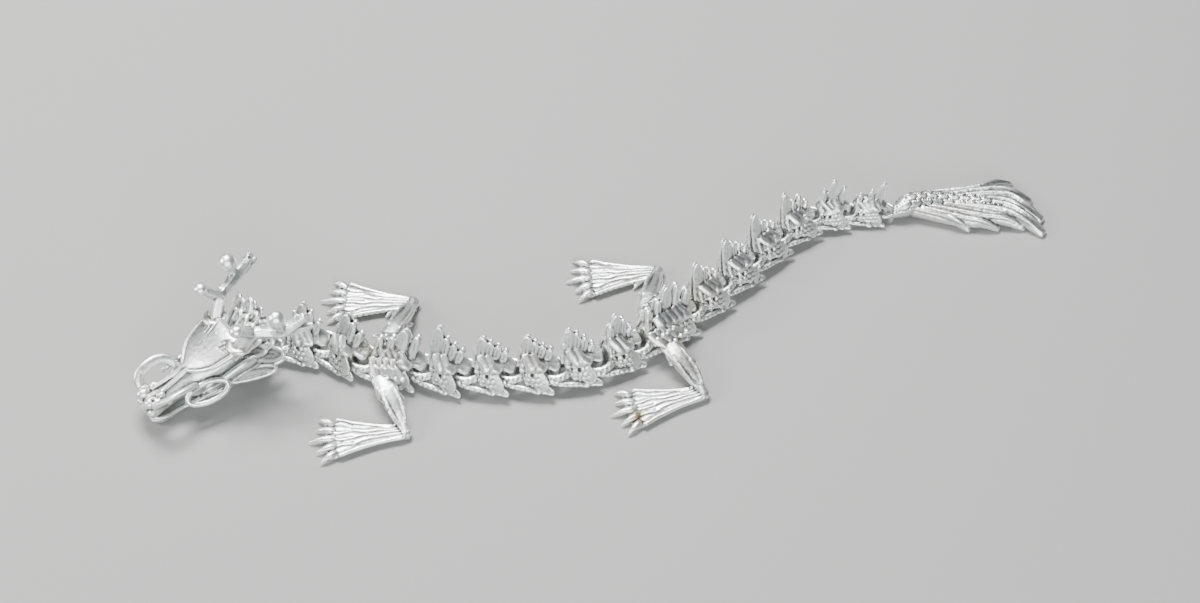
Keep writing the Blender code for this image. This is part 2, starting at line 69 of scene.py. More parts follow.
LOOP_LONG, RING_LONG, LOOP_THICK = 8.0, 8.2, 1.4
ANTLER_LENGTH, ANTLER_THICK = 13.6, 2.1
MANE_REACH, MANE_THICK, MANE_SWEEP, MANE_LEAVES, MANE_SPREAD = 8.8, 1.6, 6.6, 8, 82.0
HIP_AT = {"shoulder_link": 4.4, "hip_link": 5.6}
HIP_OUT, HIP_HEIGHT, THIGH_LENGTH, FOOT_LENGTH = 5.4, 4.4, 11.2, 15.0
KNUCKLE_HALF, CLAW_LENGTH, CLAW_HALF, CLAW_ROOT = 4.6, 4.2, 0.8, 0.9
SPUR_LENGTH, LEG_HALF, LEG_THICK = 4.6, 1.7, 2.0
TAIL_LENGTH, TUFT_WIDTH, TUFT_THICK, LOCK_HALF = 32.2, 11.5, 3.4, 1.6
STEM_HALF, STEM_TOP = 2.3, 4.6

# A millimetre in metres, and how much fuller than the solids' own the sections are made
MM, FULLER = 0.001, 1.03

# Which way the thigh, the foot and the spur point, in degrees from the casting's rear
THIGH_WAY, FOOT_WAY, SPUR_WAY = 66, 175, 222

# Each claw's place across the knuckles and its length, as shares, and how many degrees they fan out
CLAWS = ((-0.90, 0.66), (-0.45, 0.70), (0.0, 1.06), (0.45, 0.76), (0.90, 0.68))
CLAW_FAN = 36

# The pose: where the head's hook goes down, headings and rolls in degrees, and how high
# each of the crest's leaves stands, as a share of CREST_TOP
NECK_PIN = (-62.8, -12.2, 0.0)
HEAD_HEADING, HEAD_ROLL = 35.0, 5.0
CHAIN = (
    # name, pitch, size, heading, roll and crest levels
    ("neck_link_1", PITCH, 0.96, -6.0, 8.0, (1.10, 1.22, 1.08, 0.85)),
    ("neck_link_2", PITCH, 1.00, -23.0, 8.0, (0.92, 1.15, 1.05, 0.85)),
    ("shoulder_link", SHOULDER_PITCH, 1.00, -11.0, 5.0, (0.88, 0.95, 1.12, 1.05)),
    ("body_link_1", PITCH, 1.00, -9.0, 8.0, (1.25, 1.05, 0.92, 0.80)),
    ("body_link_2", PITCH, 1.00, 0.0, 11.0, (1.00, 0.95, 0.86, 0.74)),
    ("body_link_3", PITCH, 1.00, 2.0, 12.0, (1.00, 0.92, 0.84, 0.75)),
    ("body_link_4", PITCH, 1.00, 16.0, 12.0, (1.05, 1.00, 0.86, 0.68)),
    ("body_link_5", PITCH, 1.00, 32.0, 9.0, (0.95, 1.08, 0.98, 0.72)),
    ("hip_link", HIP_PITCH, 1.00, 38.0, 6.0, (0.90, 0.98, 1.14, 1.10, 0.84)),
    ("tail_link_1", PITCH, 0.96, 45.0, 10.0, (1.14, 0.98, 0.84, 0.68)),
    ("tail_link_2", PITCH, 0.94, 45.0, 12.0, (1.12, 0.98, 0.86, 0.68)),
    ("tail_link_3", PITCH, 0.92, 48.0, 12.0, (1.16, 0.96, 0.82, 0.66)),
    ("tail_link_4", PITCH, 0.88, 38.0, 12.0, (1.14, 0.90, 0.94, 0.70)),
    ("tail_link_5", END_PITCH, 0.80, 13.0, 10.0, (0.98, 1.14, 0.94)),
    ("tail_link_6", END_PITCH, 0.72, 5.0, 6.0, (0.84, 0.94, 1.12)),
)
LEG_HEADINGS = {"shoulder_link": 1.5, "hip_link": 11.0}
TAIL_HEADING, TAIL_SIZE = -5.0, 0.66
SHIFT = (-0.269, 5.110)

# The brown spot on the near hind claws: its middle, how far it is full and where it ends, in metres
STAIN_AT = (0.0071, -0.0240, 0.0012)
STAIN_FULL, STAIN_EDGE = 0.0004, 0.0026
STAIN, TARNISH = (0.60, 0.47, 0.24, 1), (0.95, 0.86, 0.66, 1)

# The silver's painted light, from the painted highlight on what stands proud to the painted shade in its
# deepest recesses: places on the ramp and their colours
SILVER_HIGHLIGHT_TO_SHADE = (
    (0.26, (0.95, 0.97, 0.955, 1)),
    (0.42, (0.66, 0.70, 0.69, 1)),
    (0.56, (0.27, 0.275, 0.27, 1)),
    (0.76, (0.06, 0.058, 0.054, 1)),
)

# The lamps: name, place and size in metres, power in watts and colour
LAMPS = (
    ("overhead", (-0.10, 0.25, 0.60), (0.30, 0.22), 11.0, (1.0, 1.0, 1.0)),
    ("left", (-0.60, -0.05, 0.35), (0.20, 0.20), 4.0, (1.0, 0.98, 0.95)),
    ("near", (0.06, -0.62, 0.34), (0.60, 0.30), 5.5, (0.95, 0.98, 1.0)),
)

# The camera: how far before and above the dragon in metres, and its angle from straight down in degrees
CAMERA_BACK, CAMERA_UP, CAMERA_TILT = 0.36558, 0.46792, 38

# The finest cube that the castings are made of, and how many triangles each is thinned to
LINK_CELL, LEG_CELL, HEAD_CELL, TAIL_CELL = 0.15, 0.16, 0.16, 0.14
LINK_FACES, LEG_FACES, HEAD_FACES, TAIL_FACES = 45000, 85000, 130000, 60000

# The relief: how wide and high the scales are, and how high and fine the metal's grain
SCALE_CELL, SCALE_HIGH = 1.05, 0.20
GRAIN_HIGH, GRAIN_FINE = 0.035, 1.7

# How often the surface is evened out to find its fine and its broad hollows for the painted shade (and what
# stands proud, for the painted highlight), and how deep a full one is
FINE_PASSES, BROAD_PASSES = 4, 12
FINE_DEEP, BROAD_DEEP = 0.07, 0.28

# How many percent of a casting's points may be pressed flat on the floor
PRESSED = 0.3


def vec(x, y, z):
    """A point or a direction."""
    return np.array((x, y, z), float)


def unit(v):
    """The same direction, one long."""
    return v / np.linalg.norm(v)


def turning(degrees, axis):
    """A turn round an axis, as a matrix of three rows."""
    return np.array(Matrix.Rotation(math.radians(degrees), 3, axis))


def spline(rows, steps, closed=False):
    """A smooth line through rows of numbers, with steps points from each row to the next."""
    rows = np.asarray(rows, float)
    if closed:
        padded = np.vstack([rows[-1], rows, rows[0], rows[1]])
    else:
        padded = np.vstack([2 * rows[0] - rows[1], rows, 2 * rows[-1] - rows[-2]])
    made = []
    for i in range(len(padded) - 3):
        a, b, c, d = padded[i : i + 4]
        square, cube = 2 * a - 5 * b + 4 * c - d, 3 * b - a - 3 * c + d
        for t in np.arange(steps) / steps:
            made.append(0.5 * (2 * b + (c - a) * t + square * t * t + cube * t**3))
    if not closed:
        made.append(rows[-1])
    return np.array(made)


def skin(rings, closed=False):
    """The points and triangles of a body through rings of points, with a fan at each open end."""
    rows, columns = rings.shape[:2]
    points = rings.reshape(-1, 3)
    i, j = np.meshgrid(np.arange(rows if closed else rows - 1), np.arange(columns), indexing="ij")
    k, nxt = (j + 1) % columns, (i + 1) % rows
    a, b, c, d = i * columns + j, i * columns + k, nxt * columns + j, nxt * columns + k
    triangles = [np.stack([a, b, d], -1).reshape(-1, 3), np.stack([a, d, c], -1).reshape(-1, 3)]
    if not closed:
        count, side = len(points), np.arange(columns)
        points = np.vstack([points, rings[0].mean(0), rings[-1].mean(0)])
        ahead, base = (side + 1) % columns, (rows - 1) * columns
        triangles.append(np.stack([np.full(columns, count), ahead, side], -1))
        triangles.append(np.stack([np.full(columns, count + 1), base + side, base + ahead], -1))
    return points, np.concatenate(triangles)


def loft(stations, sides=20, steps=4, power=2.0):
    """A body through stations, each a centre and two half-axes. A power over 2 squares its sections."""
    rows = spline([np.concatenate(station) for station in stations], steps)
    angles = 2 * np.pi * (np.arange(sides) + 0.5) / sides
    c, s = np.cos(angles), np.sin(angles)
    c, s = (np.sign(v) * np.abs(v) ** (2 / power) for v in (c, s))
    centre, wide, high = rows[:, None, 0:3], rows[:, None, 3:6], rows[:, None, 6:9]
    return skin(centre + wide * c[None, :, None] + high * s[None, :, None])


def tube(path, radii, sides=10, steps=5, closed=False, face=None, flat=1.0):
    """A rod along a smooth path, as thick at each point as its radius says, and flatter towards face."""
    radii = [radii] * len(path) if np.isscalar(radii) else radii
    rows = spline([np.append(p, r) for p, r in zip(path, radii)], steps, closed)
    line, radius = rows[:, :3], rows[:, 3]
    if closed:
        ahead = np.roll(line, -1, 0) - np.roll(line, 1, 0)
    else:
        ahead = np.gradient(line, axis=0)
    ahead /= np.linalg.norm(ahead, axis=1)[:, None]
    if face is None:
        face = np.eye(3)[np.argmin(np.abs(ahead).mean(0))]
    out = face - (ahead @ face)[:, None] * ahead
    out /= np.linalg.norm(out, axis=1)[:, None]
    across = np.cross(ahead, out)
    angles = 2 * np.pi * np.arange(sides) / sides
    c, s = np.cos(angles)[None, :, None], np.sin(angles)[None, :, None]
    rings = line[:, None] + (out[:, None] * c * flat + across[:, None] * s) * radius[:, None, None]
    return skin(rings, closed)


def ball(centre, radius, stretch=(1.0, 1.0, 1.0)):
    """A ball, stretched along the three axes."""
    lat, lon = np.radians(np.linspace(10, 170, 10)), 2 * np.pi * np.arange(16) / 16
    east, north = np.outer(np.sin(lat), np.cos(lon)), np.outer(np.sin(lat), np.sin(lon))
    up = np.outer(np.cos(lat), np.ones(16))
    return skin(np.stack([east, north, up], -1) * radius * np.array(stretch) + centre)


def ring(centre, radius, wire, turn=None, flat=1.0):
    """A closed ring round its own Z axis."""
    angles = 2 * np.pi * np.arange(16) / 16
    path = np.stack([np.cos(angles), np.sin(angles), 0 * angles], -1) * radius
    face = vec(0, 0, 1)
    if turn is not None:
        path, face = path @ turn.T, turn @ face
    return tube(path + centre, wire, sides=12, steps=3, closed=True, face=face, flat=flat)


def tongue(root, tip, half, thick, face, full=0.36):
    """A rounded leaf with a raised rim.

    full is how much of thick its middle has, and face is the way that its broad side looks.
    """
    along, long = unit(tip - root), np.linalg.norm(tip - root)
    out = unit(face - (face @ along) * along)
    across = np.cross(out, along)
    shares = (0.0, 0.2, 0.45, 0.68, 0.86, 0.97)
    widths = (0.72, 0.92, 1.0, 0.96, 0.78, 0.42)
    line = [root + along * long * s for s in shares]
    blade = [(p, across * half * w * 0.9, out * thick * full * w**0.5) for p, w in zip(line, widths)]
    left = [p + across * half * w * 0.84 for p, w in zip(line, widths)]
    right = [p - across * half * w * 0.84 for p, w in zip(line, widths)]
    rim, rim_fat = left + [tip] + right[::-1], (0.40 - 0.45 * full) * thick
    return [loft(blade, sides=12, steps=3), tube(rim, rim_fat, sides=8, steps=3, face=out)]


def claw(root, tip, half, up, hook=0.0):
    """A pointed claw or toe, a little flattened from above and bowed up as far as hook says."""
    shares = (0.0, 0.25, 0.55, 0.80, 1.0)
    line = [root + (tip - root) * s + up * hook * 4 * s * (1 - s) for s in shares]
    fat = [half * w for w in (1.0, 0.98, 0.74, 0.44, 0.14)]
    return [tube(line, fat, sides=12, steps=3, face=up, flat=0.85)]


def station(x, z, wide, high, y=0.0):
    """A station square to X, from its middle and its two half-axes."""
    return vec(x, y, z), vec(0, wide, 0), vec(0, 0, high)


def flat_section(x, half, low, high, y=0.0):
    """A station square to X, between two heights."""
    return station(x, (low + high) / 2, half * FULLER, (high - low) / 2 * FULLER, y)


def under_hood(eye_size):
    """How high a hood's underside lies, with room over the next casting's eye."""
    return (EYE_HEIGHT + EYE_WIRE) * eye_size + BEND_ROOM + GAP


def hook_sections(pin, eye_size):
    """The hood's rear, turning down through the next casting's eye at x = pin."""
    under, half, deep = under_hood(eye_size), HOOK_HALF * eye_size, HOOK_DEEP * eye_size
    hole = EYE_HEIGHT * eye_size
    rows = (
        # where the section is, how high, its slope in degrees, and its width and thickness as shares
        (pin - 0.9 * deep, under + 0.72 * deep, 16, 1.45, 0.82),
        (pin + 0.2 * deep, under - 0.16 * deep, 52, 1.20, 0.96),
        (pin, hole, 86, 1.02, 1.02),
        (pin - 0.3 * deep, hole - 1.20 * deep, 104, 0.60, 0.55),
    )
    made = []
    for x, z, slope, wide, thick in rows:
        tilt = math.radians(slope)
        up = vec(math.sin(tilt), 0, math.cos(tilt)) * deep * thick
        made.append((vec(x - HOOK_AHEAD * eye_size, 0, z), vec(0, half * wide, 0), up))
    return made


def crest(front, back, size, levels):
    """Upright leaves in two staggered rows, as high as levels says, ribs below the first, and a saddle."""
    top, foot, long = CREST_TOP * size, 0.64 * BODY_TOP * size, PITCH * size
    shapes, grooves = [], []
    for side in (1, -1):
        face = vec(-0.15, side, 0.12)
        for i, level in enumerate(levels):
            share = (i + (0.12 if side > 0 else 0.0)) / (len(levels) - 1)
            x = front + share * (back - front)
            tip = vec(x + (0.05 + 0.13 * share) * long, side * 0.42 * size, top * level - 0.1)
            if level == max(levels):
                root = vec(x - 0.85 * size, side * 0.95 * size, foot)
                shapes += tongue(root, tip, 1.25 * size, 1.1 * size, face)
                for ahead in (0.35, 0.62):
                    point = root + (tip - root) * ahead + vec(-1.05, 0, 0.1) * size
                    start, end = point + vec(0.3, 0, -0.9) * size, point + vec(-0.1, 0, 0.5) * size
                    shapes += claw(start, end, 0.42 * size, vec(0, side, 0))
            else:
                root = vec(x - 0.03 * long, side * 0.95 * size, foot)
                shapes += tongue(root, tip, 0.96 * size, 1.20 * size, face, full=0.5)[:1]
            line = [root + (tip - root) * s + vec(0, side * 0.55 * size, 0) for s in (0.55, 0.68, 0.82)]
            grooves.append((spline(line, 8), 0.17 * size, 0.14 * size))
        for i in range(3):
            rib_rows = (
                # how far behind the crest's front, how far out, and how high over its foot
                (0.62 * i - 0.35, 0.85, 0.34 - 0.03 * i),
                (0.62 * i - 0.70, 1.45, 0.17 - 0.01 * i),
                (0.66 * i - 1.05, 2.25 + 0.12 * i, 0.02 * i - 0.02),
            )
            rib = [vec(front + x * size, side * out * size, foot + z * top) for x, out, z in rib_rows]
            shapes.append(tube(rib, (0.28 * size, 0.40 * size, 0.34 * size), sides=8, steps=4))
    saddle = [
        station(front - 0.12 * long, foot, 1.15 * size, 0.14 * top),
        station(front + 0.12 * long, foot + 0.07 * top, 1.80 * size, 0.27 * top),
        station(back - 0.03 * long, foot + 0.05 * top, 1.70 * size, 0.23 * top),
        station(back + 0.08 * long, foot - 0.01 * top, 0.90 * size, 0.10 * top),
    ]
    shapes.append(loft(saddle, steps=5))
    return shapes, grooves


def flank(front, back, size, side, feathered):
    """Broad leaves below the hood, longer ones swept back along the lower edge, and the rail below them."""
    half, top, reach, long = BODY_HALF * size, BODY_TOP * size, FLANK_REACH * size, PITCH * size
    swept = 0.40 * long
    middle = (front + back) / 2

    def at(x, out, z):
        return vec(x, side * out, z * top)

    layers = [
        # where a leaf starts and ends along the link, how far out and how high it starts and ends, in turn,
        # its width, and how much it faces up
        (front, -0.4, front, 0.62, 0.72, 0.96 * reach, 0.24, 0.08, 0.70, 1.2),
        (middle, -0.5, middle, 0.80, 0.74, 0.95 * reach, 0.24, 0.07, 0.64, 1.2),
        (back, -0.9, back, 1.0, 0.70, reach, 0.24, 0.06, 0.74, 1.2),
        (front, -0.2, middle, 0.50, 0.84, 1.14 * half, 0.72, 0.38, 1.12, 0.5),
        (back, -0.8, back, 0.55, 0.80, 1.24 * half, 0.88, 0.17, 1.62, 0.3),
    ]
    if feathered:
        layers += [
            (front, -0.3, front, 0.55, 0.92, 1.18 * half, 0.56, 0.28, 0.60, 0.6),
            (middle, -0.2, middle, 0.65, 0.92, 1.20 * half, 0.54, 0.28, 0.60, 0.6),
            (back, -0.3, back, 0.70, 0.88, 1.18 * half, 0.54, 0.26, 0.60, 0.6),
        ]
    shapes = []
    for x, ahead, end, sweep, low, out, z, drop, wide, rise in layers:
        root, tip = at(x + ahead * size, low * half, z), at(end + sweep * swept, out, drop)
        shapes += tongue(root, tip, wide * size, 0.95 * LEAF_THICK * size, vec(-0.1, side, rise))
    before = ((-2.3, 2.45, 0.32), (-0.9, 3.1, 0.27), (0.8, 3.5, 0.20))
    rail = [at(x * size, out * size, z) for x, out, z in before]
    rail += [at(front, 1.08 * half, 0.14), at(back - 0.3 * size, 1.16 * half, 0.10)]
    shapes.append(tube(rail, [fat * size for fat in (0.40, 0.46, 0.52, 0.56, 0.45)]))
    return shapes


def granules(front, long, size, side):
    """Rounded grains of uneven size on the front of one side, and along the ring before it."""
    half, top = BODY_HALF * size, BODY_TOP * size
    shapes = []
    for k in range(14):
        angle = math.radians(-14 + 74 * ((k * 0.618) % 1.0))
        x = front + 0.15 * size + (k + 0.5) / 14 * long
        swell = min(1.0, 0.72 + 0.45 * (x - front) / (0.9 * size))
        out = side * 0.96 * half * swell * math.cos(angle)
        spot = vec(x, out, 0.42 * top + 0.42 * top * swell * math.sin(angle))
        shapes.append(ball(spot, (0.36 + 0.18 * ((k * 0.37) % 1.0)) * size, (1.15, 1.0, 0.9)))
    for k in range(5):
        angle = math.radians(92 - 17 * k)
        out = (EYE_HOLE + 1.7 * EYE_WIRE) * size
        spot = vec(out * math.cos(angle), side * out * math.sin(angle), (EYE_HEIGHT + 0.1) * size)
        shapes.append(ball(spot, (0.46 + 0.03 * k) * size, (1.1, 1.0, 0.9)))
    return shapes


def link_shapes(pitch, size, next_size, levels, feathered):
    """A link in its own frame, with the marks that its relief is made from."""
    half, top, long = BODY_HALF * size, BODY_TOP * size, PITCH * size
    front = (EYE_HOLE + 0.6 * EYE_WIRE) * size
    back = pitch - (EYE_HOLE + 2 * EYE_WIRE) * next_size - GAP
    span, reach, under = back - front, pitch - back, under_hood(next_size)
    belly = [
        flat_section(front - 0.15 * size, 0.74 * half, 0.14 * top, 0.62 * top),
        flat_section(front + 0.25 * span, 0.98 * half, 0, 0.96 * top),
        flat_section(front + 0.75 * span, 0.98 * half, 0, 0.98 * top),
        flat_section(back + 0.25, 0.88 * half, 0.03 * top, 0.90 * top),
    ]
    hood = [
        flat_section(front + 0.30 * span, 0.60 * half, 0.45 * top, 0.98 * top),
        flat_section(front + 0.75 * span, 0.90 * half, 0.44 * top, 1.04 * top),
        flat_section(back + 0.10 * reach, 1.00 * half, under, 1.06 * top),
        flat_section(back + 0.42 * reach, 0.95 * half, under, under + 1.85 * HOOK_DEEP * size),
    ]
    shapes = [
        loft(belly, sides=28, steps=5, power=2.5),
        loft(hood + hook_sections(pitch, next_size), sides=24, steps=5, power=2.1),
        ring(vec(0, 0, EYE_HEIGHT * size), (EYE_HOLE + EYE_WIRE) * size, EYE_WIRE * size * 1.12, flat=1.65),
    ]
    leaf_shapes, grooves = crest(front + 0.05 * long, pitch - 0.26 * long, size, levels)
    shapes += leaf_shapes
    first, last = front + 0.30 * span, front + 0.88 * span
    pits = []
    for side in (1, -1):
        for x in np.arange(first - 0.5 * size, back + 0.4 * size, 1.30 * size):
            uneven = math.sin(5.0 * x + 1.3 * side)
            root = vec(x + 0.2 * uneven, side * 1.15 * size, (1.17 + 0.04 * uneven) * top)
            tip = vec(x + (1.4 - 0.7 * uneven) * size, side * 0.93 * half, (0.80 + 0.07 * uneven) * top)
            face = vec(-0.2, side * 0.7, 0.8)
            shapes += tongue(root, tip, (0.84 + 0.14 * uneven) * size, size, face, full=0.42)
        shapes += flank(first, last, size, side, feathered)
        shapes += granules(front, 1.3 * size + 0.4 * (pitch - PITCH), size, side)
        crease = [
            vec(front + 1.0 * size, side * 0.44 * half, 1.02 * top),
            vec(last, side * 0.46 * half, 1.03 * top),
            vec(back + 0.30 * reach, side * 0.46 * half, 0.94 * top),
            vec(back + 0.62 * reach, side * 0.62 * half, under + 0.8 * HOOK_DEEP * size),
        ]
        grooves.append((spline(crease, 10), 0.26 * size, 0.20 * size))
        pits.append((vec(front - 0.1 * size, side * 0.86 * half, 0.62 * top), 0.50 * size, 0.38 * size))
        pits.append((vec(front + 1.5 * size, side * 0.95 * half, 0.64 * top), 0.46 * size, 0.38 * size))
    return shapes, grooves, pits


def leg(side, root, floor, turn):
    """A strap-like thigh, a sharp knee, and a long foot whose sinews fan out to the knuckles and claws."""
    up = turn @ vec(0, 0, 1)
    sole = LEG_THICK / 2

    def way(degrees):
        angle = math.radians(degrees)
        return turn @ vec(math.cos(angle), side * math.sin(angle), 0)

    thick = up * sole
    along, aside = way(THIGH_WAY), way(THIGH_WAY + 90)
    hip = turn @ root
    knee = hip + along * THIGH_LENGTH + up * (floor + 1.2 * sole - root[2])
    line = knee - hip
    stations = [
        (hip - along * 0.24 * THIGH_LENGTH, aside * LEG_HALF * 1.10, thick * 0.90),
        (hip + line * 0.25, aside * LEG_HALF * 1.20, thick * 1.15),
        (hip + line * 0.70, way(152) * LEG_HALF * 0.82, thick * 1.0),
        (knee + along * 0.5 * LEG_HALF, way(120) * LEG_HALF * 0.72, thick * 0.9),
    ]
    shapes = [loft(stations, steps=5, power=2.3)]
    for out in (0.80, -0.80):
        path = [
            hip + line * 0.20 + aside * LEG_HALF * 0.9 * out + thick * 0.8,
            hip + line * 0.50 + way(154) * LEG_HALF * out + thick * 0.75,
            hip + line * 0.76 + way(152) * LEG_HALF * 0.80 * out + thick * 0.72,
            knee + thick * 0.55,
        ]
        shapes.append(tube(path, [0.46 * share for share in (0.6, 1.0, 1.0, 0.7)]))
    for share, out in ((0.10, 1.0), (0.28, -1.0)):
        root_leaf = hip + line * share + aside * LEG_HALF * 0.7 * out + up * 0.2
        tip_leaf = root_leaf + line * 0.22 + aside * 0.9 * out - up * 0.5
        shapes += tongue(root_leaf, tip_leaf, 0.62, 0.8, up)
    shapes.append(ball(knee + along * 0.30, 1.10 * sole, (1.0, 1.0, 0.9)))
    toward, across = way(FOOT_WAY), way(FOOT_WAY - 90)
    ankle = knee - up * 0.35 * sole
    stations = []
    rows = (
        # how far along the foot, and its width and depth there, as shares
        (-0.04, 0.32, 0.98),
        (0.22, 0.36, 0.90),
        (0.58, 0.58, 0.80),
        (0.86, 0.93, 0.74),
        (0.97, 1.0, 0.60),
        (1.03, 0.93, 0.34),
    )
    for share, wide, deep in rows:
        centre = ankle + toward * share * FOOT_LENGTH + thick * (deep - 0.85)
        stations.append((centre, across * KNUCKLE_HALF * wide, thick * deep))
    shapes.append(loft(stations, sides=24, steps=5, power=2.8))
    above, below = knee - line * 0.26, ankle + toward * 0.24 * FOOT_LENGTH
    corner = (above + below) / 2
    web = [
        (knee + along * 0.2, (above - below) * 0.08, up * 0.75 * sole),
        (knee * 0.5 + corner * 0.5, (above - below) * 0.28, up * 0.60 * sole),
        (corner, (above - below) * 0.48, up * 0.45 * sole),
    ]
    shapes.append(loft(web, sides=16, power=2.4))
    knuckles = ankle + toward * 0.97 * FOOT_LENGTH
    places, widths, depths = zip(*rows)
    grooves = []
    for i, (spread, reach) in enumerate(CLAWS):
        direction = way(FOOT_WAY - CLAW_FAN * spread)
        start = knuckles + across * spread * 0.92 * KNUCKLE_HALF - direction * CLAW_ROOT
        shapes.append(ball(start + direction * 1.25 + up * 0.10 * sole, 0.74, (1.1, 1.1, 0.9)))
        tip = start + direction * (CLAW_LENGTH * reach + CLAW_ROOT) - up * 0.40 * sole
        shapes += claw(start + up * 0.10 * sole, tip, CLAW_HALF * 0.92, up, 0.50)
        # a deep groove between two sinews, and a shallow one along the end of each
        for edge in (-0.5, 0.0) if i else (0.0,):
            fan = spread + edge * 0.45
            path = []
            for k in range(7):
                share = 0.06 + 0.155 * k
                wide, deep = np.interp(share, places, widths), np.interp(share, places, depths)
                wave = 0.09 * math.sin(2.3 * k + 1.9 * i + 4.0 * edge) * share
                side_step = across * (0.90 * fan * wide + wave) * KNUCKLE_HALF
                high = thick * (2 * deep - 0.85) * 0.96
                path.append(ankle + toward * share * FOOT_LENGTH + side_step + high)
            grooves.append((path[0 if edge else 4 :], 0.19, 0.27 if edge else 0.16))
    edges = [ankle + toward * s * FOOT_LENGTH for s in (0.05, 0.35, 0.65, 0.88)]
    for out in (-1, 1):
        wide = (0.30, 0.42, 0.66, 0.92)
        path = [p + across * out * w * KNUCKLE_HALF + up * 0.35 * sole for p, w in zip(edges, wide)]
        shapes.append(tube(path, (0.42, 0.46, 0.50, 0.46)))
    spur = ankle + toward * 0.16 * FOOT_LENGTH
    shapes += claw(spur, spur + way(SPUR_WAY) * SPUR_LENGTH - up * 0.3 * sole, CLAW_HALF, up, 0.25)
    return shapes, [(spline(path, 8), radius, deep) for path, radius, deep in grooves]


def leg_pair(name, heading, roll, size):
    """Both legs of a casting, flat on the floor whatever its roll, and small leaves over their roots."""
    bend = LEG_HEADINGS[name] - heading
    level = turning(roll, "X")
    hips_turn, legs_turn = turning(bend / 2, "Z"), turning(bend, "Z")
    floor = -BODY_HALF * size * math.sin(math.radians(roll))
    shapes, grooves = [], []
    for side in (1, -1):
        root = vec(HIP_AT[name], 0, HIP_HEIGHT) + hips_turn @ vec(0, side * HIP_OUT, 0)
        made = leg(side, legs_turn.T @ root, floor, level @ legs_turn)
        shapes += made[0]
        grooves += made[1]
        for row, (inner, high) in enumerate(((HIP_OUT - 1.2, 0.9), (HIP_OUT - 2.8, 2.0))):
            for step in np.arange(-2.2, 2.3, 1.35):
                uneven = math.sin(4.3 * step + 2.1 * row)
                start = vec(root[0] + step - 0.6 * row, side * inner, HIP_HEIGHT + high + 0.2 * uneven)
                end = start + vec(1.2 + 0.6 * uneven, side * (1.8 - 0.4 * uneven), -1.4 + 0.2 * uneven)
                shapes += tongue(start, end, 0.74 + 0.12 * uneven, 1.0, vec(-0.3, side * 0.8, 0.8))
                shapes.append(ball(end + vec(0.5, side * 0.1, 0.1), 0.42 + 0.10 * uneven))
    return shapes, grooves


def head_shapes(next_size):
    """The head in its own frame: its hook at the origin, its snout toward -X."""
    long, half, top = HEAD_LENGTH, HEAD_HALF, HEAD_TOP
    mouth, under = JAW_THICK + MOUTH_OPEN, under_hood(next_size)
    skull = [
        flat_section(-1.01 * long, 0.66 * SNOUT_HALF, 1.2 * mouth, 0.42 * top),
        flat_section(-0.97 * long, SNOUT_HALF, mouth, 0.54 * top),
        flat_section(-0.90 * long, 0.86 * SNOUT_HALF, mouth, 0.54 * top),
        flat_section(-0.76 * long, 0.62 * SNOUT_HALF, mouth, 0.62 * top),
        flat_section(-0.66 * long, 0.60 * half, 0.13 * top, 0.72 * top),
        flat_section(-0.50 * long, 0.80 * half, 0.08 * top, 0.84 * top),
        flat_section(-0.34 * long, 0.84 * half, 0.08 * top, 0.87 * top),
        flat_section(-0.17 * long, 0.62 * half, 0.95 * under, 0.62 * top),
    ]
    jaw = [
        flat_section(-0.99 * long, 0.50 * SNOUT_HALF, 0.24 * JAW_THICK, 0.85 * JAW_THICK),
        flat_section(-0.92 * long, 0.88 * SNOUT_HALF, 0, JAW_THICK),
        flat_section(-0.76 * long, 0.80 * SNOUT_HALF, 0, JAW_THICK),
        flat_section(-0.38 * long, 0.66 * half, 0, 1.8 * JAW_THICK),
    ]
    cap_rows = (
        # where the section is, its width, its height and its thickness, as shares
        (-0.685, 0.14, 0.72, 0.36),
        (-0.63, 0.58, 0.775, 0.62),
        (-0.56, 0.92, 0.845, 0.84),
        (-0.44, 1.10, 0.955, 1.0),
        (-0.36, 1.08, 1.01, 0.90),
        (-0.315, 0.96, 1.02, 0.55),
    )
    cap = [station(x * long, z * top, wide * half, deep * CAP_THICK / 2) for x, wide, z, deep in cap_rows]
    shapes = [
        loft(skull, sides=28, power=2.3),
        loft([skull[-1], *hook_sections(0.0, next_size)], sides=24, steps=5, power=2.2),
        loft(jaw, power=2.5),
        loft(cap, sides=24, steps=5),
    ]
    grooves, pits = [], []
    for side in (1, -1):
        rim = []
        for x, wide, z, deep in cap_rows:
            rim.append(vec(x * long, side * (wide * half - 0.15), z * top + 0.10 * top * deep * 0.35))
        shapes.append(tube(rim, (0.35, 0.45, 0.52, 0.55, 0.5, 0.4), face=vec(0, 0, 1)))
        rows = ((-0.60, 0.9, 0.79), (-0.685, 0.55, 0.73), (-0.80, 0.75, 0.635), (-0.92, 1.1, 0.57))
        bridge = [vec(x * long, side * out, z * top) for x, out, z in rows]
        shapes.append(tube(bridge, (0.35, 0.52, 0.5, 0.42)))
        for i in range(4):
            rows = (
                (-0.47 + 0.01 * i, 0.30 + 0.17 * i + 0.02, 0.995 - 0.02 * i, 0.8),
                (-0.40 + 0.01 * i, 0.45 + 0.12 * i, 1.04 - 0.015 * i, 0.5),
                (-0.345, 0.60 + 0.09 * i, 1.06, 0.0),
            )
            path = [vec(x * long, side * out * half, z * top + over) for x, out, z, over in rows]
            grooves.append((spline(path, 12), 0.24, 0.17))
        side_shapes, side_grooves, side_pits = head_side(side)
        shapes += side_shapes + antler(side)
        grooves += side_grooves
        pits += side_pits
    mane_shapes, mane_grooves = mane()
    return shapes + mane_shapes, grooves + mane_grooves, pits


